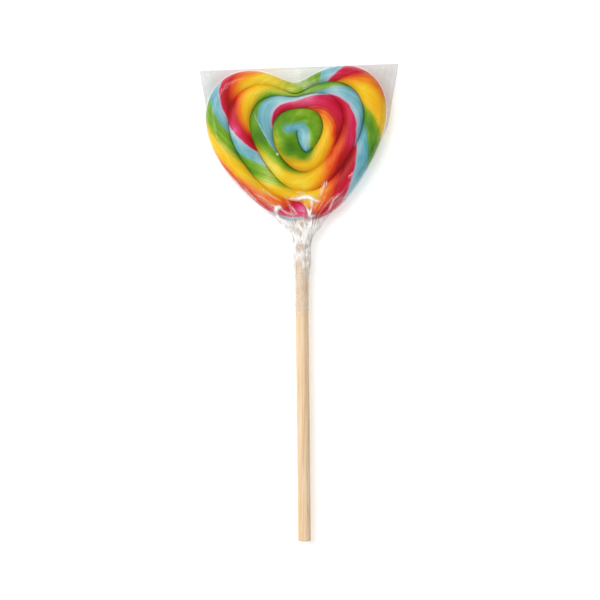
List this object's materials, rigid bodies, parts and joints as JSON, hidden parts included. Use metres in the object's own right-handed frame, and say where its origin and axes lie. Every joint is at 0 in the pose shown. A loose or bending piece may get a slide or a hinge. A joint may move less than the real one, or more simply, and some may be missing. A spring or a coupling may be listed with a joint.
{
  "type": "heart lollipop",
  "caption": "Heart-shaped swirl lollipop: a coiled, striped sugar rope on a round wooden stick, in a clear film bag gathered round the neck.",
  "frame": {"origin": "on the surface it lies on, under the middle of the whole lollipop's box", "axes": "+X to the right of the shown face, +Y along the stick towards the heart's notch, +Z out of the shown face"},
  "size_m": [0.0922, 0.2215, 0.0121],
  "materials": {
    "candy": "satin boiled sugar in green, light blue, red, orange and yellow stripes",
    "stick": "pale sanded wood, unvarnished",
    "film": "clear, thin, crinkled at the neck"
  },
  "bodies": {
    "root": {"candy": "candy", "stick": "stick", "film": "film"}
  },
  "joints": []
}
